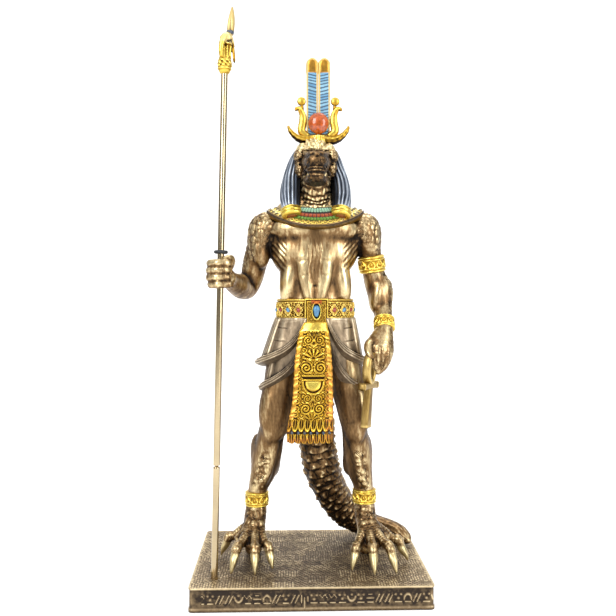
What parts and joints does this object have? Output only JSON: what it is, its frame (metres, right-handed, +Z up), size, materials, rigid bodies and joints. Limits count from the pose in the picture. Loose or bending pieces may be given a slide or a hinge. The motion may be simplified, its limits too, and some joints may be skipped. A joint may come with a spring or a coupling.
{
  "type": "crocodile-headed figure statuette",
  "caption": "Table statuette of a standing crocodile-headed figure in kilt and plumed crown, holding a tall staff and an ankh, on a rectangular plinth.",
  "frame": {"origin": "middle of the plinth's underside", "axes": "+Z up, the figure faces -Y, +X towards the figure's left hand, which holds the ankh"},
  "size_m": [0.113, 0.084, 0.2795],
  "materials": {
    "plinth_bronze": "cold-cast bronze, dark patina with light rubbed edges",
    "figure_bronze": "cold-cast bronze, dark brown in the hollows and golden on the raised parts, partly hand painted",
    "shaft_brass": "polished brass rod",
    "ring_rubber": "black, matt",
    "gold_paint": "gold paint, dark in the hollows"
  },
  "bodies": {
    "root": {"plinth": "plinth_bronze", "figure": "figure_bronze", "shaft_lower": "shaft_brass", "shaft_upper": "shaft_brass", "grip_ring": "ring_rubber", "staff_head": "gold_paint"}
  },
  "joints": []
}
